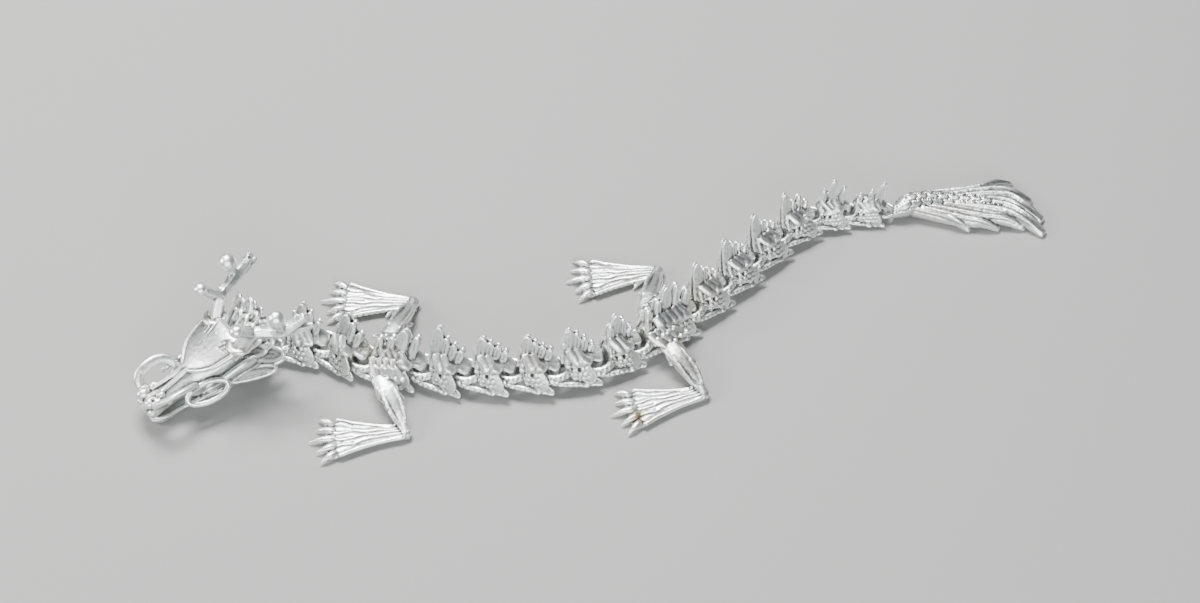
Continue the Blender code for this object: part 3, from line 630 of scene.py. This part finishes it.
def head_side(side):
    """What the head has on each side: nostril, eye, whisker loop, cheek ring, strap, jaw leaves and lip."""
    band = LOOP_THICK / 2

    def at(x, y, z):
        return vec(x * HEAD_LENGTH, side * y * HEAD_HALF, z * HEAD_TOP)

    shapes = [
        ball(at(-0.97, 0.29, 0.52), NOSTRIL_RADIUS, (1.1, 0.9, 0.8)),
        ball(at(-0.585, 0.81, 0.50), EYEBALL_RADIUS, (1.25, 0.9, 0.9)),
        ball(at(-1.005, 0.16, 0.44), 0.9),
        ball(at(-0.93, 0.42, 0.50), 0.95),
        ball(at(-0.89, 0.30, 0.58), 0.75),
        ball(at(-0.99, 0.44, 0.36), 0.8),
        ball(at(-0.86, 0.48, 0.44), 0.7),
    ]
    turns = 2 * np.pi * np.arange(16) / 16
    loop, cheek = [], []
    for c, s in zip(np.cos(turns), np.sin(turns)):
        rise = (1 + s) / 2
        loop.append(at(-0.825, 0.35 + 0.65 * rise, 0.41 + 0.34 * rise) - vec(0.5 * LOOP_LONG * c, 0, 0))
        along = vec(RING_LONG * (0.5 * c + 0.1 * s), 0, 0)
        cheek.append(at(-0.63, 1.08 - 0.21 * s + 0.15 * c, 0.49 + 0.115 * s) + along)
    plane = unit(np.cross(loop[0] - loop[8], loop[4] - loop[12]))
    shapes.append(tube(loop, 1.55 * band, sides=14, steps=2, closed=True, face=plane, flat=0.60))
    outward = vec(0, side, 0.4)
    shapes.append(tube(cheek, 0.85 * band, sides=12, steps=2, closed=True, face=outward, flat=0.9))
    lids = [at(-0.66, 0.98, 0.47), at(-0.60, 1.06, 0.54), at(-0.53, 1.02, 0.50)]
    shapes.append(tube(lids, (0.25, 0.36, 0.25)))
    strap = (at(-0.50, 1.06, 0.58), at(-0.40, 1.07, 0.64), at(-0.30, 1.04, 0.66), at(-0.12, 0.58, 0.50))
    fat = [share * STRAP_THICK for share in (0.40, 0.50, 0.52, 0.40)]
    shapes.append(tube(strap, fat, sides=12, face=vec(0, side, 0), flat=0.7))
    for drop in (0.10, 0.20):
        strand = [p - vec(0, 0, drop * HEAD_TOP * 0.8) for p in strap]
        shapes.append(tube(strand, 0.42))
    face = vec(0, side, 0.3)
    leaves = (
        (at(-0.46, 0.69, 0.36), at(-0.15, 1.15, 0.28), JAW_LEAF_HALF),
        (at(-0.36, 0.65, 0.48), at(-0.08, 1.12, 0.40), 0.87 * JAW_LEAF_HALF),
    )
    for root, tip, half in leaves:
        shapes += tongue(root, tip, half, 1.3 * JAW_LEAF_THICK, face, full=0.14)
    lip = [at(-1.0, 0.30, 0.20), at(-0.92, 0.52, 0.17), at(-0.78, 0.50, 0.16)]
    lip += [at(-0.62, 0.62, 0.20), at(-0.50, 0.72, 0.24)]
    shapes.append(tube(lip, (0.35, 0.42, 0.42, 0.45, 0.3)))
    jaw_line = [at(-0.98, 0.30, 0.10), at(-0.90, 0.47, 0.10), at(-0.74, 0.44, 0.11), at(-0.50, 0.60, 0.13)]
    shapes.append(tube(jaw_line, (0.35, 0.42, 0.42, 0.4)))
    grooves = [
        (spline([at(-0.64, 1.04, 0.485), at(-0.59, 1.10, 0.475), at(-0.54, 1.04, 0.48)], 10), 0.24, 0.40),
        (spline([at(-0.985, 0.56, 0.25), at(-0.85, 0.55, 0.22), at(-0.66, 0.66, 0.24)], 14), 0.30, 0.30),
    ]
    pits = [
        (at(-0.955, 0.40, 0.62), 0.50, 0.60),
        (at(-0.90, 0.52, 0.56), 0.45, 0.5),
        (at(-1.02, 0.26, 0.40), 0.40, 0.4),
    ]
    return shapes, grooves, pits


def antler(side):
    """An antler swept back and out from behind the brow, with a collar, two tines and a forked palm."""
    base = vec(-0.345 * HEAD_LENGTH, side * 0.85 * HEAD_HALF, 1.04 * HEAD_TOP)
    thick = 1.32 * ANTLER_THICK / 2

    def at(x, y, z):
        return base + vec(x, side * y, z) * ANTLER_LENGTH

    def branch(line, shares):
        """A tine through points, as thick at each as its share of the antler says."""
        return tube(line, [share * thick for share in shares], sides=6, steps=3)

    root, fork = at(0.05, 0.06, 0.04), at(0.20, 0.14, 0.24)
    palm, spread = at(0.56, 0.34, 0.24), at(0.74, 0.39, 0.31)
    beam = (at(-0.10, -0.06, -0.20), root, fork, at(0.40, 0.25, 0.22), palm, spread, at(0.90, 0.44, 0.40))
    fat = [share * thick for share in (1.1, 1.1, 1.02, 0.92, 1.12, 0.95, 0.72)]
    tilt = turning(8.0, "Y")
    knob = at(-0.07, 0.18, 0.50)
    return [
        tube(beam, fat, sides=6, steps=4),
        ring(at(0.0, 0.01, -0.01), 1.25 * thick, 0.62 * thick, turn=tilt, flat=0.75),
        branch((fork, at(0.08, 0.15, 0.34), knob), (0.95, 0.8, 0.85)),
        ball(knob, 1.02 * thick, (1.0, 1.0, 0.85)),
        ball(knob + vec(0.5, side * 0.3, 0.4), 0.5 * thick),
        branch((palm, at(0.51, 0.36, 0.40), at(0.49, 0.36, 0.50)), (0.9, 0.72, 0.8)),
        ball(at(0.48, 0.36, 0.54), 1.36 * thick),
        branch((palm, at(0.80, 0.42, 0.20), at(0.98, 0.48, 0.20)), (0.95, 0.75, 0.45)),
        branch((spread, at(0.82, 0.36, 0.42)), (0.6, 0.42)),
    ]


def mane():
    """Leaves that fan up and back from behind the cap, in three rows."""
    middle = vec(-0.30 * HEAD_LENGTH, 0, 0.54 * HEAD_TOP)

    def at(degrees, reach):
        angle = math.radians(degrees)
        upright = vec(0, math.sin(angle), math.cos(angle)) * reach * MANE_REACH
        return middle + upright + vec(MANE_SWEEP * (reach - 0.25), 0, 0)

    step = 2 * MANE_SPREAD / MANE_LEAVES
    face = vec(1, 0, -0.4)
    shapes, grooves = [], []
    for i in range(MANE_LEAVES):
        degrees = -MANE_SPREAD + step * (i + 0.5)
        tip = at(degrees, 0.98 if i % 2 else 1.08)
        shapes += tongue(at(degrees, 0.30), tip, 1.60, MANE_THICK, face, full=0.24)
        line = [at(degrees, s) - unit(face) * 0.14 * MANE_THICK for s in (0.50, 0.70, 0.90)]
        grooves.append((spline(line, 8), 0.24, 0.20))
    ahead, behind = vec(-1.0, 0, 0.2), vec(2.2, 0, -0.3)
    for i in range(MANE_LEAVES - 1):
        degrees = -MANE_SPREAD + step * (i + 1)
        leaves = (
            (at(degrees, 0.30) + ahead, at(degrees, 0.82) + ahead * 0.6, 1.25, 0.14),
            (at(degrees, 0.20) + behind, at(degrees, 0.90) + behind, 1.35, 0.30),
        )
        for root, tip, half, full in leaves:
            shapes += tongue(root, tip, half, 0.9 * MANE_THICK, face, full=full)
    return shapes, grooves


def tail_shapes(size):
    """The tail's end: a tapering scaly stem that ends in a flat tuft of wavy locks."""
    length, width, half, top = TAIL_LENGTH, TUFT_WIDTH, STEM_HALF, STEM_TOP
    front = (EYE_HOLE + 0.6 * EYE_WIRE) * size
    stem_rows = (
        (0.13, 1.05, 0, 1.0, 0.10),
        (0.27, 0.95, 0, 0.92, 0.22),
        (0.42, 0.80, 0, 0.80, 0.26),
        (0.60, 0.80, 0, 0.76, 0.28),
        (0.78, 0.50, 0.09, 0.62, 0.24),
    )
    stem = [flat_section(front, 0.75 * half, 0.09 * top, 0.70 * top)]
    for x, wide, low, high, y in stem_rows:
        stem.append(flat_section(x * length, wide * half, low * top, high * top, y * width))
    shapes = [
        loft(stem, sides=24, steps=6, power=2.3),
        ring(vec(0, 0, EYE_HEIGHT * size), (EYE_HOLE + EYE_WIRE) * size, EYE_WIRE * size * 1.04),
    ]

    def on_stem(x, out):
        """A point on the stem's upper side: out runs from -1 at its near edge to 1 at its far edge."""
        rows = [[s[0][0], s[0][1], s[0][2], s[1][1], s[2][2]] for s in stem]
        places = [row[0] for row in rows]
        y, z, wide, high = (np.interp(x, places, [row[k] for row in rows]) for k in (1, 2, 3, 4))
        return vec(x, y + out * wide, z + high * (1 - abs(out) ** 2.3) ** (1 / 2.3))

    grooves = []
    cell_long, last = 2.2, 0.74 * length
    for out in (-0.90, -0.34, 0.34, 0.90):
        path = []
        for x in np.arange(front + 0.6, last, 0.5):
            path.append(on_stem(x, out + 0.035 * math.sin(2.2 * x + 5 * out)))
        grooves.append((np.array(path), 0.20, 0.20))
    for row, (low, high) in enumerate(((-0.90, -0.34), (-0.34, 0.34), (0.34, 0.90))):
        for x in np.arange(front + 1.0 + cell_long / 2 * (row % 2), last, cell_long):
            path = []
            for s in np.linspace(0.05, 0.95, 9):
                path.append(on_stem(x + 0.45 * (1 - abs(2 * s - 1)), low + (high - low) * s))
            grooves.append((np.array(path), 0.19, 0.18))
    locks = (
        # where a lock starts, how far out it swells, where it ends and how far out, as shares
        (0.22, 0.52, 0.80, 0.86),
        (0.30, 0.50, 0.92, 0.50),
        (0.34, 0.42, 0.99, 0.10),
        (0.32, 0.22, 1.00, -0.20),
        (0.26, 0.04, 0.88, -0.08),
        (0.20, -0.06, 0.72, -0.14),
        (0.12, -0.02, 0.54, -0.20),
    )
    for i, (start, swell, end, out) in enumerate(locks):
        root = vec(start * length, (0.31 - 0.043 * i) * width, (0.50 + 0.017 * i) * TUFT_THICK)
        belly = start + 0.58 * (end - start)
        middle = vec(belly * length, swell * width, (0.49 - 0.011 * i) * TUFT_THICK)
        bend, bent_out = start + 0.82 * (end - start), 0.55 * swell + 0.50 * out
        knee = vec(bend * length, bent_out * width, 0.43 * TUFT_THICK)
        tip = vec(end * length, out * width, 0.14 * TUFT_THICK)
        stations = []
        for place, ahead, fat, deep in (
            (root, middle, 0.8, 1.0),
            (middle, knee, 1.1, 0.96),
            (knee, tip, 0.9, 0.84),
            (tip, tip + (tip - knee), 0.66, 0.46),
            (tip + 0.45 * unit(tip - knee), tip + (tip - knee), 0.26, 0.18),
        ):
            across = unit(np.cross(unit(ahead - place), vec(0, 0, 1)))
            stations.append((place, across * LOCK_HALF * fat, vec(0, 0, 0.46 * TUFT_THICK * deep)))
        shapes.append(loft(stations, sides=18, steps=6))
        for strand in (-0.48, 0.48):
            path = []
            for k, (place, wide, deep) in enumerate(stations[:4]):
                wave = 0.22 * math.sin(2.1 * k + 1.7 * i)
                reach = math.sqrt(1 - strand**2)
                path.append(place + wide * (strand + wave * 0.5) + deep * reach * 0.92)
            shapes.append(tube(path, (0.44, 0.56, 0.48, 0.20), sides=8, steps=6))
    return shapes, grooves, []


def edge_mean(values, one, two, degree):
    """Each point's mean over its neighbours, by edges from the points one to the points two."""
    sums = []
    for column in values.T:
        sums.append(np.bincount(one, column[two], len(degree)) + np.bincount(two, column[one], len(degree)))
    return np.stack(sums, 1) / degree[:, None]


def nearest(points, marks):
    """How far each point is from the nearest mark."""
    return np.sqrt(((points[:, None] - marks[None]) ** 2).sum(2).min(1))


def scales(co, normal, size, low, high, fade):
    """The height of a scaly relief on the flanks, between two heights and up to x = fade."""
    cell = SCALE_CELL * size
    u = co[:, 0] / cell
    v = np.arctan2(co[:, 1], co[:, 2] - 0.45 * BODY_TOP * size) * BODY_HALF * size / (cell * 0.86)
    row = np.round(v)
    across = u - 0.5 * (row % 2)
    du, dv = across - np.round(across), v - row
    dome = np.clip(1 - (du**2 + dv**2) / 0.30, 0, 1)
    mask = np.clip((co[:, 2] - low) / (0.5 * size), 0, 1) * np.clip((high - co[:, 2]) / (0.6 * size), 0, 1)
    mask *= np.clip((fade - co[:, 0]) / (1.2 * size), 0, 1) * (normal[:, 2] < 0.75)
    return (np.sqrt(dome) - 0.45) * SCALE_HIGH * size * mask


def linked(name, data):
    """A new object in the scene."""
    obj = bpy.data.objects.new(name, data)
    bpy.context.scene.collection.objects.link(obj)
    return obj


def evaluated(obj):
    """A new mesh of what an object's modifiers make of it."""
    graph = bpy.context.evaluated_depsgraph_get()
    return bpy.data.meshes.new_from_object(obj.evaluated_get(graph))


def joined(name, shapes, cell):
    """The shapes joined into one mesh by a voxel remesh, and softened a little."""
    points, triangles, count = [], [], 0
    for shape_points, shape_triangles in shapes:
        points.append(shape_points)
        triangles.append(shape_triangles + count)
        count += len(shape_points)
    rough = bpy.data.meshes.new(name + "_rough")
    rough.from_pydata(np.concatenate(points), [], np.concatenate(triangles))
    obj = linked(name + "_rough", rough)
    remesh = obj.modifiers.new("join", "REMESH")
    remesh.mode = "VOXEL"
    remesh.voxel_size = cell
    soften = obj.modifiers.new("soften", "SMOOTH")
    soften.factor = 0.5
    soften.iterations = 2
    mesh = evaluated(obj)
    bpy.data.objects.remove(obj)
    return mesh


def vectors(items, field):
    """A field of a mesh's points or normals, as rows of three numbers."""
    flat = np.empty(len(items) * 3)
    items.foreach_get(field, flat)
    return flat.reshape(-1, 3)


def carved(co, grooves, pits):
    """How deep the grooves and pits are at each point."""
    depth = np.zeros(len(co))
    for path, radius, deep in grooves:
        inside = (co > path.min(0) - 3 * radius) & (co < path.max(0) + 3 * radius)
        near = np.flatnonzero(np.all(inside, axis=1))
        if len(near):
            cut = deep * np.exp(-((nearest(co[near], path) / radius) ** 2))
            depth[near] = np.maximum(depth[near], cut)
    for centre, radius, deep in pits:
        cut = deep * np.exp(-(np.linalg.norm(co - centre, axis=1) / radius) ** 4)
        depth = np.maximum(depth, cut)
    return depth


def shade_and_highlight_paint(co, normal, depth, one, two):
    """How much painted shade each point gets for lying in a hollow, a groove or a pit, and how much painted
    highlight (below zero) where it stands proud.
    """
    total = len(co)
    degree = np.maximum(np.bincount(one, minlength=total) + np.bincount(two, minlength=total), 1)
    smooth = co
    for _ in range(FINE_PASSES):
        smooth = edge_mean(smooth, one, two, degree)
    fine = ((smooth - co) * normal).sum(1)
    for _ in range(BROAD_PASSES):
        smooth = edge_mean(smooth, one, two, degree)
    broad = ((smooth - co) * normal).sum(1)
    painted_shade_and_highlight = np.clip(fine / FINE_DEEP, -1, 1) * 0.5 + np.clip(broad / BROAD_DEEP, -1, 1) * 0.5 + depth * 0.6
    return edge_mean(painted_shade_and_highlight[:, None], one, two, degree)[:, 0]


def sculpt(name, made, place, cell, faces, size=None, fade=None):
    """A casting as a fine mesh: joined by a remesh, given relief, and set down where the part has it."""
    shapes, grooves, pits = made
    mesh = joined(name, shapes, cell)
    co, normal = vectors(mesh.vertices, "co"), vectors(mesh.vertex_normals, "vector")
    edges = np.empty(len(mesh.edges) * 2, int)
    mesh.edges.foreach_get("vertices", edges)
    one, two = edges.reshape(-1, 2).T

    depth = carved(co, grooves, pits)
    height = -depth
    if size is not None:
        height += scales(co, normal, size, 0.02 * BODY_TOP * size, 0.80 * BODY_TOP * size, fade)
    grain = np.array([noise.noise(p * GRAIN_FINE) for p in co.astype(np.float32)])
    height += GRAIN_HIGH * grain
    co = co + normal * height[:, None]
    # painted shade in hollows, grooves and pits, and painted highlight on what stands proud
    painted_shade_and_highlight = shade_and_highlight_paint(co, normal, depth, one, two)

    co = co @ place[:3, :3].T + place[:3, 3]
    co[:, 2] -= np.percentile(co[:, 2], PRESSED)
    co[:, 2] = np.maximum(co[:, 2], 0.0)
    co[:, :2] += SHIFT
    co *= MM
    mesh.vertices.foreach_set("co", co.astype(np.float32).ravel())
    mesh.update()
    # stored for the silver's colour ramp, which paints that shade and highlight into the colour
    stored = mesh.attributes.new("painted_shade_and_highlight", "FLOAT", "POINT")
    stored.data.foreach_set("value", painted_shade_and_highlight.astype(np.float32))
    mesh.materials.clear()
    mesh.materials.append(SILVER)
    casting = linked(name + "_casting", mesh)
    thin = casting.modifiers.new("thin", "DECIMATE")
    thin.ratio = min(1.0, faces / (2 * len(mesh.polygons)))
    thinned = evaluated(casting)
    casting.modifiers.clear()
    casting.data = thinned
    bpy.data.meshes.remove(mesh)
    thinned.name = name + "_casting"
    thinned.validate()
    thinned.shade_smooth()
    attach(casting, "root")
    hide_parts(name)
    return casting


def placed(pin, heading, roll):
    """Where a casting lies: its own origin at pin, turned to its heading and rolled."""
    turn = Matrix.Rotation(math.radians(heading), 4, "Z") @ Matrix.Rotation(math.radians(-roll), 4, "X")
    return np.array(Matrix.Translation(pin) @ turn)


def fill(node, values):
    """Set some of a node's inputs."""
    for key, value in values.items():
        node.inputs[key].default_value = value


def cast_silver():
    """Polished cast silver: a painted highlight on what stands proud, and painted shade, a little yellow, in
    its recesses.
    """
    made = bpy.data.materials.new("cast_silver")
    made.use_nodes = True
    nodes, links = made.node_tree.nodes, made.node_tree.links

    def node(kind, values, **sources):
        """A new node with some values set, and what is led into it."""
        new = nodes.new("ShaderNode" + kind)
        fill(new, values)
        for key, source in sources.items():
            links.new(source, new.inputs[key])
        return new

    def multiplied(under, colour, share):
        """What lies under, multiplied by a colour as far as share says."""
        mix = node("Mix", {})
        mix.data_type = "RGBA"
        mix.blend_type = "MULTIPLY"
        fill(mix, {"B": colour})
        links.new(share, mix.inputs["Factor"])
        links.new(under, mix.inputs["A"])
        return mix.outputs["Result"]

    # the painted shade and highlight of each point picks its colour on the ramp
    painted_shade_and_highlight = node("Attribute", {})
    painted_shade_and_highlight.attribute_name = "painted_shade_and_highlight"
    lift = node("Math", {})
    lift.operation = "MULTIPLY_ADD"
    fill(lift, {1: 0.5, 2: 0.42})
    links.new(painted_shade_and_highlight.outputs["Fac"], lift.inputs[0])
    shade = node("ValToRGB", {}, Fac=lift.outputs["Value"])
    ramp = shade.color_ramp.elements
    ramp[0].position, ramp[0].color = SILVER_HIGHLIGHT_TO_SHADE[0]
    ramp[1].position, ramp[1].color = SILVER_HIGHLIGHT_TO_SHADE[-1]
    for stop, colour in SILVER_HIGHLIGHT_TO_SHADE[1:-1]:
        ramp.new(stop).color = colour

    place = node("TexCoord", {})
    cloud = node("TexNoise", {"Scale": 95.0, "Detail": 3.0}, Vector=place.outputs["Object"])
    clouded = {"From Min": 0.55, "From Max": 0.75, "To Max": 0.45}
    where = node("MapRange", clouded, Value=cloud.outputs["Fac"])
    tarnished = multiplied(shade.outputs["Color"], TARNISH, where.outputs["Result"])
    apart = node("VectorMath", {})
    apart.operation = "DISTANCE"
    fill(apart, {1: STAIN_AT})
    links.new(place.outputs["Object"], apart.inputs[0])
    fading = {"From Min": STAIN_FULL, "From Max": STAIN_EDGE, "To Min": 0.9, "To Max": 0.0}
    spread = node("MapRange", fading, Value=apart.outputs["Value"])
    stained = multiplied(tarnished, STAIN, spread.outputs["Result"])

    fine = {"Scale": 1900.0, "Detail": 4.0, "Roughness": 0.6}
    grain = node("TexNoise", fine, Vector=place.outputs["Object"])
    dull = {"From Min": 0.3, "From Max": 0.7, "To Min": 0.32, "To Max": 0.46}
    gloss = node("MapRange", dull, Value=grain.outputs["Fac"])
    bump = node("Bump", {"Strength": 0.35, "Distance": 0.00012}, Height=grain.outputs["Fac"])
    shader = nodes["Principled BSDF"]
    fill(shader, {"Metallic": 1.0})
    links.new(stained, shader.inputs["Base Color"])
    links.new(gloss.outputs["Result"], shader.inputs["Roughness"])
    links.new(bump.outputs["Normal"], shader.inputs["Normal"])
    return made


def stage():
    """A plain pale floor, three soft lamps and the photograph's viewpoint."""
    bpy.ops.mesh.primitive_plane_add(size=6.0, location=(0, 0, 0))
    floor = bpy.context.object
    floor.name = "floor"
    pale = bpy.data.materials.new("pale_floor")
    pale.use_nodes = True
    matt = {"Base Color": (0.31, 0.31, 0.306, 1), "Roughness": 0.85, "Specular IOR Level": 0.2}
    fill(pale.node_tree.nodes["Principled BSDF"], matt)
    floor.data.materials.append(pale)
    for name, place, (wide, tall), power, colour in LAMPS:
        light = bpy.data.lights.new(name, "AREA")
        light.shape = "RECTANGLE"
        light.size, light.size_y = wide, tall
        light.energy = power
        light.color = colour
        lamp = linked(name, light)
        lamp.location = place
        lamp.rotation_euler = (-Vector(place)).to_track_quat("-Z", "Y").to_euler()
    world = bpy.data.worlds.new("studio")
    world.use_nodes = True
    fill(world.node_tree.nodes["Background"], {"Color": (0.80, 0.84, 0.86, 1), "Strength": 0.13})
    bpy.context.scene.world = world
    lens = bpy.data.cameras.new("camera")
    lens.sensor_width = 36.0
    lens.lens = 89.07
    lens.clip_start = 0.01
    camera = linked("camera", lens)
    camera.location = (SHIFT[0] * MM, SHIFT[1] * MM - CAMERA_BACK, CAMERA_UP)
    camera.rotation_euler = (math.radians(CAMERA_TILT), 0, 0)
    bpy.context.scene.camera = camera


for old in list(bpy.data.objects):
    bpy.data.objects.remove(old, do_unlink=True)
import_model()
SILVER = cast_silver()
stage()

sculpt("head", head_shapes(CHAIN[0][2]), placed(NECK_PIN, HEAD_HEADING, HEAD_ROLL), HEAD_CELL, HEAD_FACES)
pin = np.array(NECK_PIN)
next_sizes = [row[2] for row in CHAIN[1:]] + [TAIL_SIZE]
for (name, pitch, size, heading, roll, levels), next_size in zip(CHAIN, next_sizes):
    shapes, grooves, pits = link_shapes(pitch, size, next_size, levels, "body" not in name)
    cell, faces = LINK_CELL, LINK_FACES
    if name in LEG_HEADINGS:
        legs = leg_pair(name, heading, roll, size)
        shapes += legs[0]
        grooves += legs[1]
        cell, faces = LEG_CELL, LEG_FACES
    # the scales end where the hook goes into the next casting's eye
    fade = pitch - 2.6 * next_size
    sculpt(name, (shapes, grooves, pits), placed(pin, heading, roll), cell, faces, size, fade)
    pin = pin + turning(heading, "Z") @ vec(pitch, 0, 0)
sculpt("tail_tuft", tail_shapes(TAIL_SIZE), placed(pin, TAIL_HEADING, 0.0), TAIL_CELL, TAIL_FACES)
